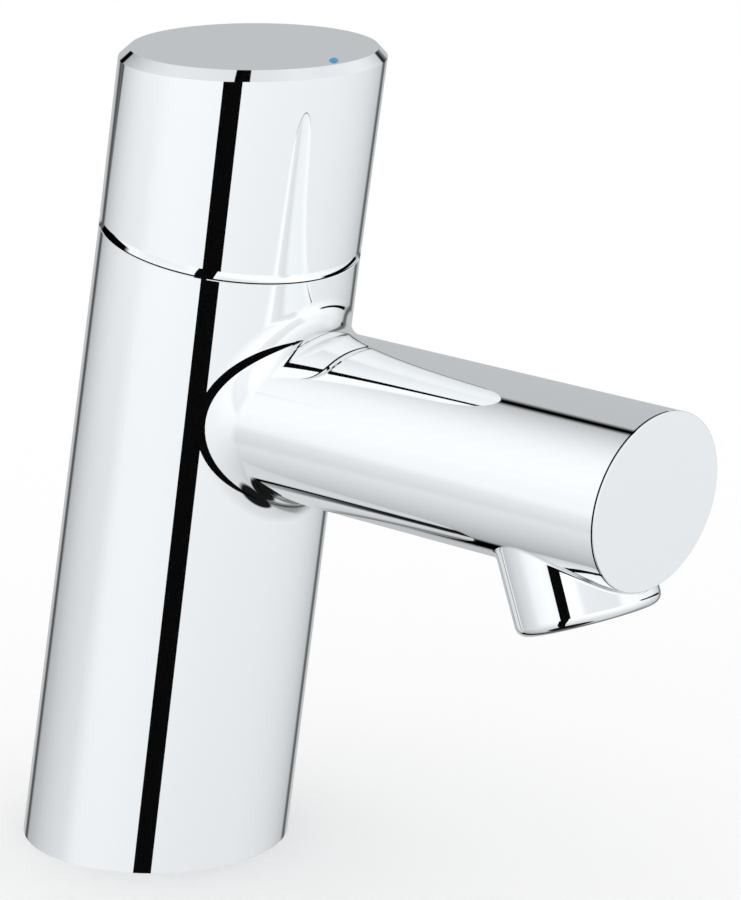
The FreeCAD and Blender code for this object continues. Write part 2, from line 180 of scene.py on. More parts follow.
def chromeMaterial(look):
    # Polished plating: faint smudges and the slight swell of a hand-polished casting.
    material, nodes = newMaterial("chromePlate")
    smudge = noise(nodes, look["smudgeScale"])
    finishWith(nodes, {
        "Base Color": between(nodes, look["light"], look["dark"], smudge), "Metallic": 1.0,
        "Roughness": smudge * look["smudge"] + look["roughness"],
        "Normal": bumped(nodes, noise(nodes, look["rippleScale"], 1.0), look["ripple"])})
    return material


turnedLooks = {
    "raw_brass": {
        "light": (0.83, 0.67, 0.38), "dark": (0.66, 0.48, 0.24), "roughness": 0.22, "ringScale": 5200.0},
    "stainless": {
        "light": (0.70, 0.71, 0.72), "dark": (0.58, 0.59, 0.60), "roughness": 0.26, "ringScale": 4200.0},
}
turnedMarks = {
    "aroundScale": 60, "ringRough": 0.1, "ringDepth": 0.01, "tarnishScale": 140.0, "tarnishRough": 0.12,
}


def turnedMetal(name, look):
    # Bare metal off the lathe: fine rings across the axis, and cloudy tarnish.
    material, nodes = newMaterial(name)
    marks = turnedMarks
    rings = noise(nodes, 1.0, 2.0, (marks["aroundScale"], marks["aroundScale"], look["ringScale"]))
    tarnish = noise(nodes, marks["tarnishScale"])
    finishWith(nodes, {
        "Base Color": between(nodes, look["light"], look["dark"], tarnish), "Metallic": 1.0,
        "Roughness": tarnish * marks["tarnishRough"] + rings * marks["ringRough"] + look["roughness"],
        "Normal": bumped(nodes, rings, marks["ringDepth"])})
    return material


mouldedLooks = {
    "white_ceramic": {
        "light": (0.90, 0.90, 0.88), "dark": (0.84, 0.84, 0.81),
        "roughness": 0.12, "grain": 900.0, "depth": 0.002},
    "black_rubber": {
        "light": (0.035, 0.035, 0.035), "dark": (0.02, 0.02, 0.021),
        "roughness": 0.62, "grain": 2600.0, "depth": 0.02},
    "red_fibre": {
        "light": (0.45, 0.12, 0.08), "dark": (0.33, 0.07, 0.05),
        "roughness": 0.75, "grain": 3200.0, "depth": 0.04},
    "black_plastic": {
        "light": (0.04, 0.04, 0.045), "dark": (0.028, 0.028, 0.031),
        "roughness": 0.38, "grain": 3000.0, "depth": 0.01},
    "white_plastic": {
        "light": (0.86, 0.87, 0.87), "dark": (0.80, 0.81, 0.80),
        "roughness": 0.35, "grain": 2800.0, "depth": 0.01},
    "blue_plastic": {
        "light": (0.075, 0.36, 0.68), "dark": (0.055, 0.28, 0.56),
        "roughness": 0.16, "grain": 1500.0, "depth": 0.003},
}
mouldedMarks = {"grainsPerCloud": 12, "grainRough": 0.12}


def mouldedMaterial(name, look):
    # Moulded, pressed or lapped: uneven colour and a fine grain.
    material, nodes = newMaterial(name)
    cloud = noise(nodes, look["grain"] / mouldedMarks["grainsPerCloud"])
    grain = noise(nodes, look["grain"])
    finishWith(nodes, {
        "Base Color": between(nodes, look["light"], look["dark"], cloud),
        "Roughness": grain * mouldedMarks["grainRough"] + look["roughness"],
        "Normal": bumped(nodes, grain, look["depth"])})
    return material


finishes = {"chrome_plate": chromeMaterial(chromeLook)}
finishes |= {name: turnedMetal(name, look) for name, look in turnedLooks.items()}
finishes |= {name: mouldedMaterial(name, look) for name, look in mouldedLooks.items()}
print("finishes:", len(finishes))


slotOf = {part["node"]: part["material_slot"] for part in frame["record"]["subparts"]}
bodyOf = {node: body for body, nodes in frame["record"]["behaviour"]["bodies"].items() for node in nodes}


def newPiece(mesh):
    piece = bpy.data.objects.new(mesh.name, mesh)
    scene.collection.objects.link(piece)
    return piece


def standFor(piece, node):
    # Puts a piece in the place of a node, with the node's own finish, on the node's body.
    piece.data.materials.clear()
    piece.data.materials.append(finishes[slotOf[node]])
    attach(piece, bodyOf[node])
    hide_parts(node)
    print(piece.name + ":", len(piece.data.polygons), "faces")


# Closed skins. A corner is a (point, normal) pair and a row is a list of corners.

class Skin:
    def __init__(self):
        self.corners, self.faces = [], []

    def face(self, *corners):
        # Turns the face so that it looks the way its normals do.
        points = [point for point, _ in corners]
        across = (points[2] - points[0]).cross(points[-1] - points[1])
        if across.dot(sum((normal for _, normal in corners), Vector((0, 0, 0)))) < 0:
            corners = corners[::-1]
        self.faces.append(range(len(self.corners), len(self.corners) + len(corners)))
        self.corners.extend(corners)

    def band(self, rows):
        for lower, upper in zip(rows, rows[1:]):
            for this in range(len(lower)):
                self.face(lower[this - 1], lower[this], upper[this], upper[this - 1])

    def flat(self, rows, normal):
        self.band([[(point, normal) for point, _ in row] for row in rows])

    def lid(self, row, normal):
        middle = sum((point for point, _ in row), Vector((0, 0, 0))) / len(row)
        for this in range(len(row)):
            self.face((row[this - 1][0], normal), (row[this][0], normal), (middle, normal))

    def finish(self, name):
        # Joins the faces' shared corners and keeps each corner's own normal.
        mesh = bpy.data.meshes.new(name)
        mesh.from_pydata([point * mm for point, _ in self.corners], [], self.faces)
        kept = mesh.attributes.new("cornerNormal", "FLOAT_VECTOR", "CORNER")
        for item, (_, normal) in zip(kept.data, self.corners):
            item.vector = normal.normalized()
        work = bmesh.new()
        work.from_mesh(mesh)
        bmesh.ops.remove_doubles(work, verts=work.verts, dist=joinWithin * mm)
        work.to_mesh(mesh)
        work.free()
        mesh.shade_smooth()
        mesh.normals_split_custom_set([item.vector for item in mesh.attributes["cornerNormal"].data])
        mesh.attributes.remove(mesh.attributes["cornerNormal"])
        return newPiece(mesh)


class Lathe:
    # An axis to turn shapes around: a corner lies at a turn, a radius and a reach along the axis.

    def __init__(self, root, axis, fore, side=sideAxis):
        self.root, self.axis, self.fore, self.side = root, axis, fore, side

    def out(self, turn):
        return self.fore * math.cos(turn) + self.side * math.sin(turn)

    def point(self, turn, radius, reach):
        return self.root + self.axis * reach + self.out(turn) * radius

    def turnOf(self, point):
        return math.atan2((point - self.root).dot(self.side), (point - self.root).dot(self.fore))

    def reachOf(self, point):
        return (point - self.root).dot(self.axis)

    def turned(self, skin, around, profile, smooth=math.radians(30)):
        # Bands along a profile of (radius, reach) pairs, whose outer side is on the right.
        # Edges flatter than the smooth angle are blended. Gives the profile's end rows.
        slopes = []
        for (radius, reach), (nextRadius, nextReach) in zip(profile, profile[1:]):
            slopes.append(Vector((nextReach - reach, radius - nextRadius)))
        for place, slope in enumerate(slopes):
            ends = []
            for beside, corner in ((place - 1, place), (place + 1, place + 1)):
                normal = slope
                if 0 <= beside < len(slopes) and slope.angle(slopes[beside]) < smooth:
                    normal = slope + slopes[beside]
                ends.append((profile[corner], normal.normalized()))
            skin.band([
                [(self.point(turn, *pair), self.out(turn) * normal.x + self.axis * normal.y)
                 for turn in around] for pair, normal in ends])
        return [[(self.point(turn, *pair), self.out(turn)) for turn in around]
                for pair in (profile[0], profile[-1])]


def mix(first, second, share):
    # Part of the way from one number, vector or shader value to another.
    return first + (second - first) * share


def steps(first, last, count):
    return [mix(first, last, place / count) for place in range(count + 1)]


def turns(count, start=-math.pi):
    return [start + 2 * math.pi * place / count for place in range(count)]


def swing(first, last, share):
    # A direction on the way from one direction to another.
    angle = first.angle(last)
    return (first * math.sin((1 - share) * angle) + last * math.sin(share * angle)) / math.sin(angle)


def hollowArc(centre, radius, first, last, count):
    # A row across a hollow rounding, from direction first to direction last seen from the ball's centre.
    ways = [swing(first, last, share) for share in steps(0, 1, count)]
    return [(centre + way * radius, -way) for way in ways]


def quarterRound(centreRadius, centreReach, radius, firstAngle, lastAngle, count):
    # Profile points of a rounding.
    return [(centreRadius + radius * math.cos(angle), centreReach + radius * math.sin(angle))
            for angle in steps(firstAngle, lastAngle, count)]


def skinWithWindow(skin, surface, grid, window, holeAt, rings):
    # Faces over rows of (turn, reach) pairs, with rings of faces between the window's edge and its hole.
    # Gives the points of the window's edge.
    firstRow, lastRow, firstColumn, lastColumn = window
    corners = [[surface(*pair) for pair in row] for row in grid]
    for row in range(len(grid) - 1):
        for column in range(len(grid[0])):
            if firstRow <= row < lastRow and firstColumn < column <= lastColumn:
                continue
            lower, upper = corners[row], corners[row + 1]
            skin.face(lower[column - 1], lower[column], upper[column], upper[column - 1])
    outline = [grid[firstRow][column] for column in range(firstColumn, lastColumn)]
    outline += [grid[row][lastColumn] for row in range(firstRow, lastRow)]
    outline += [grid[lastRow][column] for column in range(lastColumn, firstColumn, -1)]
    outline += [grid[row][firstColumn] for row in range(lastRow, firstRow, -1)]
    hole = [holeAt(surface(*pair)[0]) for pair in outline]
    skin.band([
        [surface(mix(a, c, share), mix(b, d, share)) for (a, b), (c, d) in zip(outline, hole)]
        for share in steps(0, 1, rings)])
    return [surface(*pair)[0] for pair in outline]


def nearest(values, wanted):
    return min(range(len(values)), key=lambda place: abs(values[place] - wanted))


# Body casting: trunk, spout and nozzle in one skin

trunk = {
    "baseRadius": 23.0, "topRadius": 21.95, "length": 111.535, "rimChamfer": 0.12, "recessRadius": 17.0,
    "recessDepth": 6.0, "segments": 240, "firstLevel": 6.0, "rows": 14, "windowTurn": math.radians(54),
    "windowLow": 62.0, "windowHigh": 110.2, "windowRows": 48, "windowRings": 8,
    "gasketOuter": 19.5, "gasketInner": 15.0, "gasketDepth": 1.6, "holeRadius": 10.48, "holeChamfer": 1.0,
    "holeDepth": 11.5,
}
spout = {
    "height": 82.3, "radius": 14.75, "reach": 112.95, "endTilt": math.radians(6.6), "capLip": 0.55,
    "rootWidth": 7.0, "rootPasses": 60, "rootRows": 16, "rows": 16, "windowStart": 81.0,
    "windowTurn": math.radians(62), "windowRows": 44, "windowRings": 3,
}
nozzle = {
    "reach": 91.66, "radius": 11.9, "tilt": math.radians(20.5), "length": 23.5, "lip": 1.8, "lipRows": 10,
    "blend": 0.6, "backBlend": 1.8, "blendRows": 8, "boreRadius": 9.25, "boreDepth": 8.5,
}
taper = math.atan((trunk["baseRadius"] - trunk["topRadius"]) / trunk["length"])
trunkLathe = Lathe(Vector((0, 0, 0)), leanAxis, foreAxis)
spoutLathe = Lathe(Vector((0, 0, spout["height"])), spoutAxis, sideAxis, upAxis)
nozzleLathe = Lathe(
    Vector((nozzle["reach"], 0, spout["height"])),
    Vector((math.sin(nozzle["tilt"]), 0, -math.cos(nozzle["tilt"]))),
    Vector((math.cos(nozzle["tilt"]), 0, math.sin(nozzle["tilt"]))))
deckLathe = Lathe(Vector((0, 0, 0)), upAxis, spoutAxis)


def trunkRadius(level):
    return trunk["baseRadius"] - level * math.tan(taper)


def onTrunk(turn, level):
    normal = trunkLathe.out(turn) * math.cos(taper) + leanAxis * math.sin(taper)
    return trunkLathe.point(turn, trunkRadius(level), level), normal


def onSpout(turn, reach):
    return spoutLathe.point(turn, spout["radius"], reach), spoutLathe.out(turn)


def baseLevel(turn):
    # Where the leaning trunk meets the deck.
    slope = math.cos(turn) * leanAxis.x / leanAxis.z
    return trunk["baseRadius"] * slope / (1 + math.tan(taper) * slope)


def spoutEnd(turn, setback):
    return spout["reach"] - setback + spout["radius"] * math.sin(turn) * math.tan(spout["endTilt"])


def rootRow(turn):
    # The rounding between trunk and spout at one turn around the spout: a ball rolled along both.
    # The ball's size changes on its way, so that the rounding looks equally wide all around.
    out, blend = spoutLathe.out(turn), spout["rootWidth"] / 2
    centre = spoutLathe.point(turn, spout["radius"] + blend, 0)
    for _ in range(spout["rootPasses"]):
        centre = spoutLathe.point(turn, spout["radius"] + blend, centre.x)
        far = trunkRadius(trunkLathe.reachOf(centre)) + blend / math.cos(taper)
        centre.x = (math.sqrt(far ** 2 - centre.y ** 2) + centre.z * leanAxis.x) / leanAxis.z
        normal = onTrunk(trunkLathe.turnOf(centre), 0)[1]
        blend = mix(blend, spout["rootWidth"] / 2 / math.sin(normal.angle(out) / 2), 0.5)
    return hollowArc(centre, blend, -normal, -out, spout["rootRows"])


def nozzleRow(turn):
    # The rounding between spout and nozzle at one turn around the nozzle, larger at the back.
    blend = mix(nozzle["backBlend"], nozzle["blend"], (1 + math.cos(turn)) / 2)
    wide = nozzle["radius"] + blend
    drop = math.sqrt((spout["radius"] + blend) ** 2 - (wide * math.sin(turn)) ** 2)
    reach = (wide * math.cos(turn) * math.sin(nozzle["tilt"]) + drop) / math.cos(nozzle["tilt"])
    centre = nozzleLathe.point(turn, wide, reach)
    spoutOut = spoutLathe.out(spoutLathe.turnOf(centre))
    return hollowArc(centre, blend, -spoutOut, -nozzleLathe.out(turn), nozzle["blendRows"])


def trunkHole(point):
    start = rootRow(spoutLathe.turnOf(point))[0][0]
    return trunkLathe.turnOf(start), trunkLathe.reachOf(start)


def spoutHole(point):
    start = nozzleRow(nozzleLathe.turnOf(point))[0][0]
    return spoutLathe.turnOf(start), spoutLathe.reachOf(start)


def addTrunk(skin):
    # Gives the turns, around the spout, of the rows that go on from the window.
    around = turns(trunk["segments"])
    low, high, side = trunk["windowLow"], trunk["windowHigh"], trunk["windowTurn"]
    rimLevel = trunk["length"] - trunk["rimChamfer"]
    levels = steps(trunk["firstLevel"], low, trunk["rows"]) + steps(low, high, trunk["windowRows"])[1:]
    grid = [[(turn, baseLevel(turn)) for turn in around]]
    grid += [[(turn, level) for turn in around] for level in levels + [rimLevel]]
    firstRow = trunk["rows"] + 1
    window = (firstRow, firstRow + trunk["windowRows"], nearest(around, -side), nearest(around, side))
    outline = skinWithWindow(skin, onTrunk, grid, window, trunkHole, trunk["windowRings"])

    # Rim, and the recess that takes the guide ring and the valve
    top = trunk["length"]
    floor = top - trunk["recessDepth"]
    _, inner = trunkLathe.turned(skin, around, [
        (trunkRadius(rimLevel), rimLevel), (trunkRadius(top) - trunk["rimChamfer"], top),
        (trunk["recessRadius"], top), (trunk["recessRadius"], floor)])
    skin.lid(inner, leanAxis)

    # Underside: the tail's hole and the gasket's groove
    first, last = deckLathe.turned(skin, around, [
        (trunk["holeRadius"], trunk["holeDepth"]), (trunk["holeRadius"], trunk["holeChamfer"]),
        (trunk["holeRadius"] + trunk["holeChamfer"], 0), (trunk["gasketInner"], 0),
        (trunk["gasketInner"], trunk["gasketDepth"]), (trunk["gasketOuter"], trunk["gasketDepth"]),
        (trunk["gasketOuter"], 0)])
    skin.lid(first, -upAxis)
    skin.flat([last, [onTrunk(*pair) for pair in grid[0]]], -upAxis)
    return sorted(spoutLathe.turnOf(point) for point in outline)


def addSpout(skin, around):
    # Gives the turns, around the nozzle, of the rows that go on from the window.
    roots = [rootRow(turn) for turn in around]
    skin.band([list(row) for row in zip(*roots)])
    starts = [spoutLathe.reachOf(row[-1][0]) for row in roots]
    grid = [[(turn, mix(start, spout["windowStart"], share)) for turn, start in zip(around, starts)]
            for share in steps(0, 1, spout["rows"])]
    grid += [[(turn, mix(spout["windowStart"], spoutEnd(turn, spout["capLip"]), share)) for turn in around]
             for share in steps(0, 1, spout["windowRows"])[1:]]
    down, side = -math.pi / 2, spout["windowTurn"]
    window = (spout["rows"], spout["rows"] + spout["windowRows"],
              nearest(around, down - side), nearest(around, down + side))
    outline = skinWithWindow(skin, onSpout, grid, window, spoutHole, spout["windowRings"])
    skin.lid([onSpout(*pair) for pair in grid[-1]], spoutAxis)
    return sorted(nozzleLathe.turnOf(point) for point in outline)


def addNozzle(skin, around):
    blends = [nozzleRow(turn) for turn in around]
    skin.band([list(row) for row in zip(*blends)])
    lipReach = nozzle["length"] - nozzle["lip"]
    lipRadius = nozzle["radius"] - nozzle["lip"]
    starts = [row[-1] for row in blends]
    ends = [(nozzleLathe.point(turn, nozzle["radius"], lipReach), nozzleLathe.out(turn)) for turn in around]
    middles = [(mix(start[0], end[0], 0.5), end[1]) for start, end in zip(starts, ends)]
    skin.band([starts, middles, ends])
    lip = quarterRound(lipRadius, lipReach, nozzle["lip"], 0, math.pi / 2, nozzle["lipRows"])
    _, last = nozzleLathe.turned(skin, around, lip + [
        (nozzle["boreRadius"], nozzle["length"]),
        (nozzle["boreRadius"], nozzle["length"] - nozzle["boreDepth"])])
    skin.lid(last, nozzleLathe.axis)


def makeCasting():
    skin = Skin()
    addNozzle(skin, addSpout(skin, addTrunk(skin)))
    standFor(skin.finish("bodyCasting"), "body_casting")


makeCasting()


# Cap on the spout's end

cap = {
    "joint": 0.33, "edgeRadius": 0.15, "edgeRows": 4, "spigotRadius": 11.6, "spigotDepth": 3.8,
    "segments": 240,
}


def makeSpoutCap():
    skin = Skin()
    around = turns(cap["segments"])
    tilt, edge = spout["endTilt"], cap["edgeRadius"]
    front = Vector((math.cos(tilt), 0, -math.sin(tilt)))
    rounded = []
    for turn in around:
        inner = spout["radius"] - edge
        reach = spout["reach"] - edge / math.cos(tilt) + inner * math.sin(turn) * math.tan(tilt)
        centre = spoutLathe.point(turn, inner, reach)
        out = spoutLathe.out(turn)
        ways = [swing(out, front, share) for share in steps(0, 1, cap["edgeRows"])]
        lip = onSpout(turn, spoutEnd(turn, spout["capLip"] - cap["joint"]))
        rounded.append([lip] + [(centre + way * edge, way) for way in ways])
    rows = [list(row) for row in zip(*rounded)]
    skin.band(rows)
    skin.lid(rows[-1], front)

    # Spigot that sits in the spout's bore
    spigot = cap["spigotRadius"]
    face = spout["reach"] - spout["capLip"] + cap["joint"]
    depth = spout["reach"] - cap["spigotDepth"]
    joint, back = [], []
    for turn in around:
        out = spoutLathe.out(turn)
        joint.append((spoutLathe.point(turn, spigot, face + spigot * math.sin(turn) * math.tan(tilt)), out))
        back.append((spoutLathe.point(turn, spigot, depth), out))
    skin.flat([rows[0], joint], -front)
    skin.band([joint, back])
    skin.lid(back, -spoutAxis)
    standFor(skin.finish("spoutCap"), "spout_end_cap")


makeSpoutCap()


# Handle

handle = {
    "level": 111.835, "height": 142.523, "radius": 21.95, "wall": 2.75, "roof": 3.5, "chamfer": 1.65,
    "grooveHeight": 1.35, "grooveDepth": 0.33, "grooveHollow": 0.55, "grooveRows": 6,
    "coverLevel": 127.035, "coverRadius": 3.0, "coverDepth": 1.5, "segments": 240, "rows": 6,
    "windowTurn": math.radians(12), "windowHalf": 4.5, "windowRows": 18, "windowRings": 4,
}


def onHandle(turn, level):
    return trunkLathe.point(turn, handle["radius"], level), trunkLathe.out(turn)


def levelAt(turn, height):
    # The level along the leaning axis at which a column of the handle's radius reaches a height.
    return (height + handle["radius"] * math.cos(turn) * leanAxis.x) / leanAxis.z


def flatEllipse(turn, height, inset):
    centre = Vector((height * leanAxis.x / leanAxis.z, 0, height))
    long = handle["radius"] / leanAxis.z - inset
    return centre + Vector((long * math.cos(turn), (handle["radius"] - inset) * math.sin(turn), 0))


def coverHole(point):
    # The round hole at the back, as seen along its own axis.
    across = point.dot(sideAxis)
    along = trunkLathe.reachOf(point) - handle["coverLevel"]
    angle = math.atan2(along, across)
    side = handle["coverRadius"] * math.cos(angle)
    turn = math.pi - math.asin(side / handle["radius"])
    return turn, handle["coverLevel"] + handle["coverRadius"] * math.sin(angle)


def makeHandle():
    skin = Skin()
    around = turns(handle["segments"], 0)
    shoulder = handle["height"] - handle["chamfer"]
    grooveTop = handle["level"] + handle["grooveHeight"]
    low = handle["coverLevel"] - handle["windowHalf"]
    high = handle["coverLevel"] + handle["windowHalf"]
    levels = steps(grooveTop, low, handle["rows"]) + steps(low, high, handle["windowRows"])[1:]
    grid = [[(turn, level) for turn in around] for level in levels]
    grid += [[(turn, mix(high, levelAt(turn, shoulder), share)) for turn in around]
             for share in steps(0, 1, handle["rows"])[1:]]
    side = handle["windowTurn"]
    window = (handle["rows"], handle["rows"] + handle["windowRows"],
              nearest(around, math.pi - side), nearest(around, math.pi + side))
    outline = skinWithWindow(skin, onHandle, grid, window, coverHole, handle["windowRings"])

    # Seat of the screw's cover
    hole = [onHandle(*coverHole(point))[0] for point in outline]
    back = -foreAxis
    bottom = handle["radius"] - handle["coverDepth"]
    seat = [point - back * ((point - leanAxis * handle["coverLevel"]).dot(back) - bottom) for point in hole]
    middle = leanAxis * handle["coverLevel"] + back * bottom
    inward = [(middle - point).normalized() for point in seat]
    skin.band([list(zip(hole, inward)), list(zip(seat, inward))])
    skin.lid(list(zip(seat, inward)), back)

    # Crown
    lower = [flatEllipse(turn, shoulder, 0) for turn in around]
    upper = [flatEllipse(turn, handle["height"], handle["chamfer"]) for turn in around]
    slopes = []
    for place in range(len(around)):
        along = lower[place - 1] - lower[(place + 1) % len(around)]
        slope = (upper[place] - lower[place]).cross(along).normalized()
        slopes.append(slope if slope.z > 0 else -slope)
    skin.band([list(zip(lower, slopes)), list(zip(upper, slopes))])
    skin.lid(list(zip(upper, slopes)), upAxis)

    # Skirt with its groove, and pocket
    inner = handle["radius"] - handle["wall"]
    groove = []
    for share in steps(0, 1, handle["grooveRows"]):
        depth = handle["grooveDepth"] * (1 + handle["grooveHollow"] * (1 - share)) * share
        groove.append((handle["radius"] - depth, mix(handle["level"], grooveTop, share)))
    first, _ = trunkLathe.turned(skin, around, [
        (inner, grooveTop), (inner, handle["level"])] + groove + [(handle["radius"], grooveTop)])
    ceiling = handle["height"] - handle["roof"]
    top = []
    for turn in around:
        reach = (ceiling + inner * math.cos(turn) * leanAxis.x) / leanAxis.z
        top.append((trunkLathe.point(turn, inner, reach), -trunkLathe.out(turn)))
    skin.band([[(point, -normal) for point, normal in first], top])
    skin.lid(top, -upAxis)
    standFor(skin.finish("handleShell"), "handle_shell")


makeHandle()


# Small pieces: closed skins through rows of points, with sharp edges found by angle

sharpAngle = math.radians(32)


def pieceFromRows(name, rows):
    # Each row goes around, and the last row joins the first. A row on the axis becomes a point.
    count = len(rows[0])
    points = [point * mm for row in rows for point in row]
    faces = []
    for row in range(len(rows)):
        below, above = row * count, (row + 1) % len(rows) * count
        for this in range(count):
            beside = (this + 1) % count
            faces.append((below + this, below + beside, above + beside, above + this))
    mesh = bpy.data.meshes.new(name)
    mesh.from_pydata(points, [], faces)
    work = bmesh.new()
    work.from_mesh(mesh)
    bmesh.ops.remove_doubles(work, verts=work.verts, dist=joinWithin * mm)
    bmesh.ops.delete(work, geom=[edge for edge in work.edges if edge.is_wire], context="EDGES")
    bmesh.ops.recalc_face_normals(work, faces=work.faces)
    work.to_mesh(mesh)
    work.free()
    mesh.shade_smooth()
    mesh.set_sharp_from_angle(angle=sharpAngle)
    return newPiece(mesh)


def turnedPiece(name, lathe, profile, segments):
    return pieceFromRows(name, [[lathe.point(turn, *pair) for turn in turns(segments)] for pair in profile])


def softened(profile, radius, rows=4):
    # A closed profile with rounded corners.
    soft = []
    for place, pair in enumerate(profile):
        corner = Vector(pair)
        back = (Vector(profile[place - 1]) - corner).normalized()
        ahead = (Vector(profile[(place + 1) % len(profile)]) - corner).normalized()
        half = back.angle(ahead) / 2
        centre = corner + (back + ahead).normalized() * radius / math.sin(half)
        first = (corner + back * radius / math.tan(half) - centre).normalized()
        last = (corner + ahead * radius / math.tan(half) - centre).normalized()
        soft += [tuple(centre + swing(first, last, share) * radius) for share in steps(0, 1, rows)]
    return soft


def boxProfile(inner, outer, low, high):
    return [(inner, low), (outer, low), (outer, high), (inner, high)]


# Cold mark: a domed pip pressed into the handle's flat

mark = {"offset": 18.1, "radius": 0.8, "depth": 1.5, "rise": 0.5, "rows": 8, "segments": 48}


def makeColdMark():
    centre = handle["height"] * leanAxis.x / leanAxis.z + mark["offset"]
    lathe = Lathe(Vector((centre, 0, handle["height"])), upAxis, spoutAxis)
    ball = (mark["radius"] ** 2 + mark["rise"] ** 2) / (2 * mark["rise"])
    start = math.asin((ball - mark["rise"]) / ball)
    dome = quarterRound(0, mark["rise"] - ball, ball, start, math.pi / 2, mark["rows"])
    profile = [(0, -mark["depth"]), (mark["radius"], -mark["depth"])] + dome
    standFor(turnedPiece("coldMark", lathe, profile, mark["segments"]), "cold_mark")


makeColdMark()


# Cover of the handle's screw, flush with the wall behind a fine joint

cover = {"gap": 0.06, "edge": 0.08, "rings": 6, "segments": 72}


def makeScrewCover():
    radius = handle["coverRadius"] - cover["gap"]
    back = -foreAxis
    middle = leanAxis * handle["coverLevel"]
    angles = turns(cover["segments"])

    def outside(angle, reach):
        turn = math.pi - math.asin(reach * math.cos(angle) / handle["radius"])
        return onHandle(turn, handle["coverLevel"] + reach * math.sin(angle))[0]

    reaches = steps(0, radius - cover["edge"], cover["rings"])
    rows = [[outside(angle, reach) for angle in angles] for reach in reaches]
    rim = [outside(angle, radius) for angle in angles]
    rows.append([point - back * cover["edge"] for point in rim])
    bottom = handle["radius"] - handle["coverDepth"]
    rows.append([point + back * (bottom - (point - middle).dot(back)) for point in rim])
    rows.append([middle + back * bottom] * len(angles))
    standFor(pieceFromRows("screwCover", rows), "screw_cover")


makeScrewCover()


# Rubber ring under the base

gasket = {"inner": 15.0, "outer": 19.5, "thickness": 1.6, "edge": 0.4, "segments": 160}


def makeGasket():
    profile = softened(boxProfile(gasket["inner"], gasket["outer"], 0, gasket["thickness"]), gasket["edge"])
    standFor(turnedPiece("baseGasket", deckLathe, profile, gasket["segments"]), "base_gasket")


makeGasket()


# Outlet: housing with key notches, and a honeycomb screen

housing = {
    "start": 16.2, "end": 22.9, "radius": 9.25, "wall": 1.3, "ledge": 0.7, "notches": 4, "notchWidth": 2.4,
    "notchDepth": 1.4, "notchColumns": 6, "wallColumns": 24,
}


def makeHousing():
    outer, start, end = housing["radius"], housing["start"], housing["end"]
    inner = outer - housing["wall"]
    narrow = inner - housing["ledge"]
    ledge = end - housing["ledge"]
    floor = end - housing["notchDepth"]
    half = math.asin(housing["notchWidth"] / 2 / outer)
    pitch = 2 * math.pi / housing["notches"]
    columns = []
    for notch in range(housing["notches"]):
        middle = pitch * notch
        columns += [(turn, floor) for turn in steps(middle - half, middle + half, housing["notchColumns"])]
        wall = steps(middle + half, middle + pitch - half, housing["wallColumns"])
        columns += [(turn, end) for turn in wall]
    sections = []
    for turn, top in columns:
        section = [(outer, start), (outer, floor), (outer, top), (inner, top), (inner, end), (narrow, end),
                   (narrow, ledge), (inner, ledge), (inner, start)]
        sections.append([nozzleLathe.point(turn, *pair) for pair in section])
    rows = [list(row) for row in zip(*sections)]
    standFor(pieceFromRows("aeratorHousing", rows), "aerator_housing")


makeHousing()


# Geometry Nodes

def newTree(name, sizes):
    # A tree with a geometry and named sizes going in. Gives its nodes and its inputs by name.
    tree = bpy.data.node_groups.new(name, "GeometryNodeTree")
    nodes = Nodes(tree)
    for side in ("INPUT", "OUTPUT"):
        tree.interface.new_socket("Geometry", in_out=side, socket_type="NodeSocketGeometry")
    for size in sizes:
        tree.interface.new_socket(size, in_out="INPUT", socket_type="NodeSocketFloat")
    return nodes, nodes.outputs(nodes.add("NodeGroupInput"))


def endTree(nodes, geometry, material):
    real = nodes.add("GeometryNodeRealizeInstances", {}, {0: geometry})
    painted = nodes.add("GeometryNodeSetMaterial", {}, {"Geometry": real, "Material": material})
    nodes.add("NodeGroupOutput", {}, {0: painted})


def grown(piece, tree, sizes):
    # The plain mesh that the tree makes of a piece.
    modifier = piece.modifiers.new("grow", "NODES")
    modifier.node_group = tree
    for socket in tree.interface.items_tree:
        if socket.name in sizes:
            modifier[socket.identifier] = sizes[socket.name]
    mesh = bpy.data.meshes.new_from_object(piece.evaluated_get(bpy.context.evaluated_depsgraph_get()))
    piece.modifiers.remove(modifier)
    old = piece.data
    piece.data = mesh
    mesh.name = piece.name
    bpy.data.meshes.remove(old)
    mesh.set_sharp_from_angle(angle=sharpAngle)
    return piece


screen = {
    "start": 20.0, "thickness": 2.2, "radius": 7.95, "rim": 1.15, "cell": 1.9, "web": 0.35, "across": 9,
    "segments": 96,
}


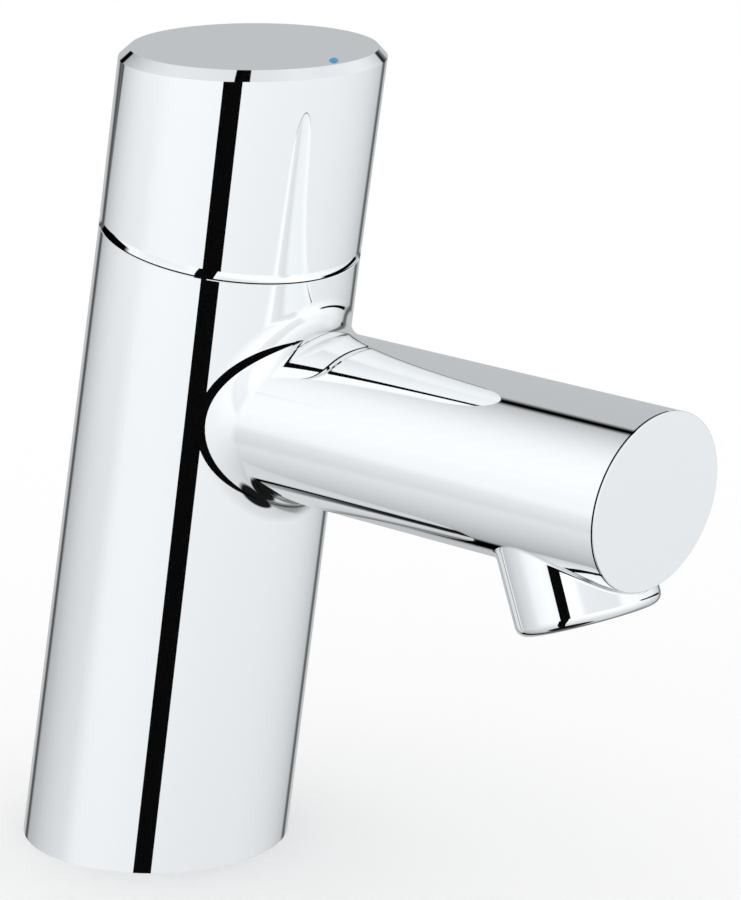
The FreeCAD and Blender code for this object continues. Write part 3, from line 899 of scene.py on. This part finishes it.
def makeScreen():
    # Hexagonal cells on a grid whose odd rows stand half a cell aside, inside a turned rim.
    # Made flat at the origin and then moved into the nozzle.
    low, high = screen["start"], screen["start"] + screen["thickness"]
    cell, across, opening = screen["cell"], screen["across"], screen["radius"] - screen["rim"]
    rowShare = math.sqrt(3) / 2  # how far apart the rows stand, in cells

    def corners(width, level):
        return [deckLathe.point(turn, width / math.sqrt(3), level) for turn in turns(6, math.radians(30))]

    unit = pieceFromRows("cell", [
        corners(cell - screen["web"], low), corners(cell, low),
        corners(cell, high), corners(cell - screen["web"], high)])
    sizes = {"Cell": cell * mm, "Reach": opening * mm}
    nodes, given = newTree("honeycomb", sizes)
    grid = nodes.add("GeometryNodeMeshGrid", {}, {
        "Size X": given["Cell"] * (across - 1), "Size Y": given["Cell"] * (rowShare * (across - 1)),
        "Vertices X": across, "Vertices Y": across})
    x, y, z = nodes.split(nodes.add("GeometryNodeInputPosition"))
    odd = (y / (given["Cell"] * rowShare)).maths("ROUND").maths("FLOORED_MODULO", 2.0)
    shift = nodes.add("ShaderNodeCombineXYZ", {}, {0: odd * given["Cell"] * 0.5})
    staggered = nodes.add("GeometryNodeSetPosition", {}, {"Geometry": grid, "Offset": shift})
    within = (x * x + y * y).maths("SQRT").maths("LESS_THAN", given["Reach"])
    shape = nodes.add("GeometryNodeObjectInfo", {}, {"Object": unit}, output="Geometry")
    cells = nodes.add("GeometryNodeInstanceOnPoints", {}, {
        "Points": staggered, "Selection": within, "Instance": shape})
    joined = nodes.add("GeometryNodeJoinGeometry", {}, {0: cells})
    nodes.tree.links.new(given["Geometry"].socket, joined.socket.node.inputs[0])  # two on one socket
    endTree(nodes, joined, finishes["white_plastic"])
    ring = boxProfile(opening, screen["radius"], low, high)
    rim = turnedPiece("aeratorScreen", deckLathe, ring, screen["segments"])
    grown(rim, nodes.tree, sizes)
    bpy.data.objects.remove(unit)
    toNozzle = Matrix((nozzleLathe.fore, -nozzleLathe.side, nozzleLathe.axis)).transposed().to_4x4()
    toNozzle.translation = nozzleLathe.root * mm
    rim.data.transform(toNozzle)
    standFor(rim, "aerator_screen")


makeScreen()


# Tail with its pipe thread

tail = {
    "top": 10.0, "radius": 10.48, "bore": 6.5, "fixingEnd": -36.0, "supplyStart": -38.5, "end": -52.0,
    "relief": 1.1, "chamfer": 0.8, "pitch": 1.814, "threadDepth": 1.162, "flank": (0.12, 0.88),
    "rowsPerPitch": 10, "segments": 72,
}


def addThread(piece, material):
    # Pulls the plain rod in along a helix, except where the ridge of the thread stays.
    sizes = {"Pitch": tail["pitch"] * mm, "Depth": tail["threadDepth"] * mm, "Radius": tail["radius"] * mm}
    nodes, given = newTree("thread", sizes)
    x, y, z = nodes.split(nodes.add("GeometryNodeInputPosition"))
    phase = (z / given["Pitch"] - y.maths("ARCTAN2", x) * (0.5 / math.pi)).maths("FRACT")
    flank = (phase - 0.5).maths("ABSOLUTE") * 2.0
    ridge = nodes.ease(flank, *tail["flank"])
    reach = (x * x + y * y).maths("SQRT")
    ratio = reach.maths("MINIMUM", given["Radius"] - (1 - ridge) * given["Depth"]) / reach
    place = nodes.add("ShaderNodeCombineXYZ", {}, {0: x * ratio, 1: y * ratio, 2: z})
    inputs = {"Geometry": given["Geometry"], "Position": place}
    endTree(nodes, nodes.add("GeometryNodeSetPosition", {}, inputs), material)
    return grown(piece, nodes.tree, sizes)


def makeTail():
    radius, low = tail["radius"], tail["end"]
    rows = tail["rowsPerPitch"]
    groove = radius - tail["relief"]
    fixingRows = round(-tail["fixingEnd"] / tail["pitch"] * rows)
    supplyLow = low + tail["chamfer"]
    supplyRows = round((tail["supplyStart"] - supplyLow) / tail["pitch"] * rows)
    profile = [(tail["bore"], low), (radius - tail["chamfer"], low)]
    profile += [(radius, level) for level in steps(supplyLow, tail["supplyStart"], supplyRows)]
    profile += [(groove, tail["supplyStart"]), (groove, tail["fixingEnd"])]
    profile += [(radius, level) for level in steps(tail["fixingEnd"], 0, fixingRows)]
    profile += [(radius, tail["top"]), (tail["bore"], tail["top"])]
    piece = turnedPiece("inletTail", deckLathe, profile, tail["segments"])
    standFor(addThread(piece, finishes["raw_brass"]), "inlet_tail")


makeTail()


# Clamp under the deck

washers = {
    "bore": 10.98, "top": -15.0, "rubberRadius": 20.0, "rubberThickness": 2.5, "rubberEdge": 0.6,
    "plateRadius": 19.0, "plateThickness": 1.8, "plateEdge": 0.3, "segments": 128,
}
nut = {
    "acrossFlats": 30.0, "flange": 17.0, "flangeThickness": 1.5, "height": 7.0, "bore": 10.53,
    "boreChamfer": 0.9, "faceRadius": 14.2, "faceSlope": math.radians(30), "segments": 180,
}


def makeClamp():
    plateTop = washers["top"] - washers["rubberThickness"]
    nutTop = plateTop - washers["plateThickness"]
    rubber = boxProfile(washers["bore"], washers["rubberRadius"], plateTop, washers["top"])
    plate = boxProfile(washers["bore"], washers["plateRadius"], nutTop, plateTop)
    rubber, plate = softened(rubber, washers["rubberEdge"]), softened(plate, washers["plateEdge"])
    standFor(turnedPiece("clampRubber", deckLathe, rubber, washers["segments"]), "clamp_rubber")
    standFor(turnedPiece("clampPlate", deckLathe, plate, washers["segments"]), "clamp_plate")

    low, flangeLow = nutTop - nut["height"], nutTop - nut["flangeThickness"]
    mouth = nut["bore"] + nut["boreChamfer"]
    sections = []
    for turn in turns(nut["segments"]):
        flat = nut["acrossFlats"] / 2 / math.cos(turn % math.radians(60) - math.radians(30))
        wide = max(flat, nut["flange"])
        slope = (flat - nut["faceRadius"]) * math.tan(nut["faceSlope"])
        section = [(mouth, low), (nut["faceRadius"], low), (flat, low + slope), (flat, flangeLow),
                   (wide, flangeLow), (wide, nutTop), (mouth, nutTop),
                   (nut["bore"], nutTop - nut["boreChamfer"]), (nut["bore"], low + nut["boreChamfer"])]
        sections.append([deckLathe.point(turn, *pair) for pair in section])
    standFor(pieceFromRows("backNut", [list(row) for row in zip(*sections)]), "back_nut")


makeClamp()


# Finishes on the nodes that stay as they are

def finishNodes():
    kept = 0
    for part in frame["record"]["subparts"]:
        node = frame["nodes"][part["node"]]
        if not node.hide_render:
            node.data.materials.clear()
            node.data.materials.append(finishes[part["material_slot"]])
            kept += 1
    print("nodes kept:", kept)


finishNodes()

# The deck would hide these from the chrome above it.
for name in ("inletTail", "clampRubber", "clampPlate", "backNut"):
    bpy.data.objects[name].visible_glossy = False


# Floor and studio

floorLook = {"half": 3.0, "colour": (1, 1, 1)}
cardLook = {
    "place": (0.1278, -0.2054), "facing": math.radians(-50.4), "half": 0.0328, "reach": 1.7,
    "colour": (0.003, 0.003, 0.003),
}


def sheet(name, corners):
    mesh = bpy.data.meshes.new(name)
    mesh.from_pydata(corners, [], [(0, 1, 2, 3)])
    piece = newPiece(mesh)
    return piece


def makeFloor(look):
    # White from above and clear from below. The chrome sees the studio instead.
    half = look["half"]
    floor = sheet("floor", [(-half, -half, 0), (half, -half, 0), (half, half, 0), (-half, half, 0)])
    material, nodes = newMaterial("floorPaint")
    paint = nodes.add("ShaderNodeBsdfDiffuse", {}, {"Color": (*look["colour"], 1)})
    below = nodes.add("ShaderNodeNewGeometry", output="Backfacing")
    clear = nodes.add("ShaderNodeBsdfTransparent")
    shader = nodes.add("ShaderNodeMixShader", {}, {0: below, 1: paint, 2: clear})
    nodes.add("ShaderNodeOutputMaterial", {}, {"Surface": shader})
    floor.data.materials.append(material)
    floor.visible_glossy = False


def makeBlackCard(look):
    # The narrow card in front that draws the black line down the chrome. Only reflections see it.
    along = Vector((-math.sin(look["facing"]), math.cos(look["facing"]))) * look["half"]
    left, right = Vector(look["place"]) - along, Vector(look["place"]) + along
    reach = look["reach"]
    card = sheet("blackCard", [(*left, -reach), (*right, -reach), (*right, reach), (*left, reach)])
    material, nodes = newMaterial("blackPaper")
    paint = nodes.add("ShaderNodeBsdfDiffuse", {}, {"Color": (*look["colour"], 1)})
    nodes.add("ShaderNodeOutputMaterial", {}, {"Surface": paint})
    card.data.materials.append(material)
    card.visible_camera = card.visible_diffuse = card.visible_shadow = card.visible_transmission = False


makeFloor(floorLook)
makeBlackCard(cardLook)

# What the chrome sees, in degrees around and above the horizon. Light falls off away from the camera's side,
# a grey wall stands behind with a dark strip at each side of it, and straight below it is black.
# A pair is where a soft edge starts and where it is complete.
studio = {
    "tint": (0.975, 1.0, 1.022), "facing": -40.0, "bright": 1.155, "fallOff": 1.03, "power": 3.6,
    "lowFall": 0.36, "lowEdge": (11.5, -62.7), "highFall": 0.33, "highEdge": (33.0, 80.0),
    "wallMiddle": 136.0, "wallHalf": 23.0, "wallSoft": 6.0, "wallGrey": 0.55,
    "wallFall": 0.69, "wallEdge": (-37.0, -60.0),
    "rightMiddle": 164.0, "rightLean": 0.05, "rightHalf": 1.3, "rightSoft": 7.0, "rightDark": 0.78,
    "rightDeepens": 0.22, "rightRise": (-10.0, 30.0), "rightWidens": 5.0, "rightFoot": (-32.0, -40.0),
    "gapFoot": (9.0, 13.0), "gapTop": (33.0, 27.0),
    "leftMiddle": 110.0, "leftHalf": 1.5, "leftSoft": 7.0, "leftDark": 0.75,
    "ground": 0.01, "groundFacing": -65.0, "groundMiddle": -72.0, "groundRise": 9.5, "groundSoft": 3.0,
}
# Darker patches of it: a middle direction, and edges in height that may rise along the way around.
shades = [
    {"middle": 72.0, "half": 25.0, "soft": 8.0, "foot": (-8.7, -7.5), "top": (-2.8, -4.0), "depth": 1.0,
     "rise": -0.2},
    {"middle": 194.0, "half": 21.0, "soft": 9.0, "foot": (-2.2, -0.8), "top": (15.0, 13.0), "depth": 1.0,
     "rise": 0.33},
    {"middle": -100.0, "half": 15.0, "soft": 20.0, "foot": (-8.0, -2.0), "top": (20.0, 12.0), "depth": 0.15},
    {"middle": -158.0, "half": 18.0, "soft": 20.0, "foot": (-32.0, -25.0), "top": (-9.0, -17.0),
     "depth": 0.13},
    {"middle": -24.0, "half": 24.0, "soft": 14.0, "foot": (-2.0, 7.0), "top": (32.0, 22.0), "depth": 0.19},
    {"middle": 93.0, "half": 12.0, "soft": 12.0, "foot": (-84.0, -78.0), "top": (-32.0, -48.0), "depth": 0.4},
    {"middle": -67.5, "half": 12.5, "soft": 1.5, "foot": (64.0, 66.0), "top": (78.0, 75.0), "depth": 1.0},
    {"middle": 158.8, "half": 2.2, "soft": 2.4, "foot": (7.5, 10.5), "top": (19.0, 15.5), "depth": 1.0},
    {"middle": 106.5, "half": 1.6, "soft": 2.4, "foot": (5.5, 9.5), "top": (17.0, 13.5), "depth": 0.9},
    {"middle": 0.0, "half": 55.0, "soft": 30.0, "foot": (-5.0, 30.0), "top": (65.0, 50.0), "depth": 0.12},
]


def makeStudio(look, patches):
    world = bpy.data.worlds.new("studio")
    scene.world = world
    world.use_nodes = True
    world.cycles.sampling_method = "NONE"
    nodes = Nodes(world.node_tree)
    x, y, z = nodes.split(nodes.add("ShaderNodeTexCoord"))  # in a world, its first output is the way looked
    around = y.maths("ARCTAN2", x) * (180 / math.pi)
    height = z.maths("ARCSINE") * (180 / math.pi)

    def offset(middle):
        return (around - middle).maths("WRAP", 180.0, -180.0)

    def away(middle):
        return offset(middle).maths("ABSOLUTE")

    def band(middle, half, soft):
        return nodes.ease(away(middle), half + soft, half)

    fall = (away(look["facing"]) / 180).maths("POWER", look["power"]) * look["fallOff"]
    light = (1 - fall) * look["bright"]
    light = light * (1 - nodes.ease(height, *look["lowEdge"]) * look["lowFall"])
    light = light * (1 - nodes.ease(height, *look["highEdge"]) * look["highFall"])
    wall = (1 - nodes.ease(height, *look["wallEdge"]) * look["wallFall"]) * look["wallGrey"]
    light = mix(light, wall, band(look["wallMiddle"], look["wallHalf"], look["wallSoft"]))

    # The right strip is darker above, wide and black near the ground, and open in its gap.
    foot = nodes.ease(height, *look["rightFoot"])
    half = foot * look["rightWidens"] + look["rightHalf"]
    right = band(height * look["rightLean"] + look["rightMiddle"], half, look["rightSoft"])
    depth = (nodes.ease(height, *look["rightRise"]) + foot) * look["rightDeepens"] + look["rightDark"]
    gap = nodes.ease(height, *look["gapFoot"]) * nodes.ease(height, *look["gapTop"])
    light = light * (1 - right * depth * (1 - gap))
    light = light * (1 - band(look["leftMiddle"], look["leftHalf"], look["leftSoft"]) * look["leftDark"])

    for shade in patches:
        tilted = height - offset(shade["middle"]) * shade.get("rise", 0.0)
        dark = band(shade["middle"], shade["half"], shade["soft"]) * shade["depth"]
        light = light * (1 - dark * nodes.ease(tilted, *shade["foot"]) * nodes.ease(tilted, *shade["top"]))

    # The black below reaches higher on one side.
    lean = ((around - look["groundFacing"]) * (math.pi / 180)).maths("COSINE")
    rim = lean * look["groundRise"] + look["groundMiddle"]
    light = mix(light, look["ground"], nodes.ease(height - rim, look["groundSoft"], -look["groundSoft"]))

    tinted = nodes.add("ShaderNodeVectorMath", {"operation": "SCALE"}, {0: look["tint"], "Scale": light})
    seen = nodes.add("ShaderNodeBackground", {}, {"Color": tinted})
    plain = nodes.add("ShaderNodeBackground", {}, {"Color": (1, 1, 1, 1)})
    glossy = nodes.outputs(nodes.add("ShaderNodeLightPath"))["Is Glossy Ray"]
    shader = nodes.add("ShaderNodeMixShader", {}, {0: glossy, 1: plain, 2: seen})
    nodes.add("ShaderNodeOutputWorld", {}, {"Surface": shader})


makeStudio(studio, shades)
print("studio set")
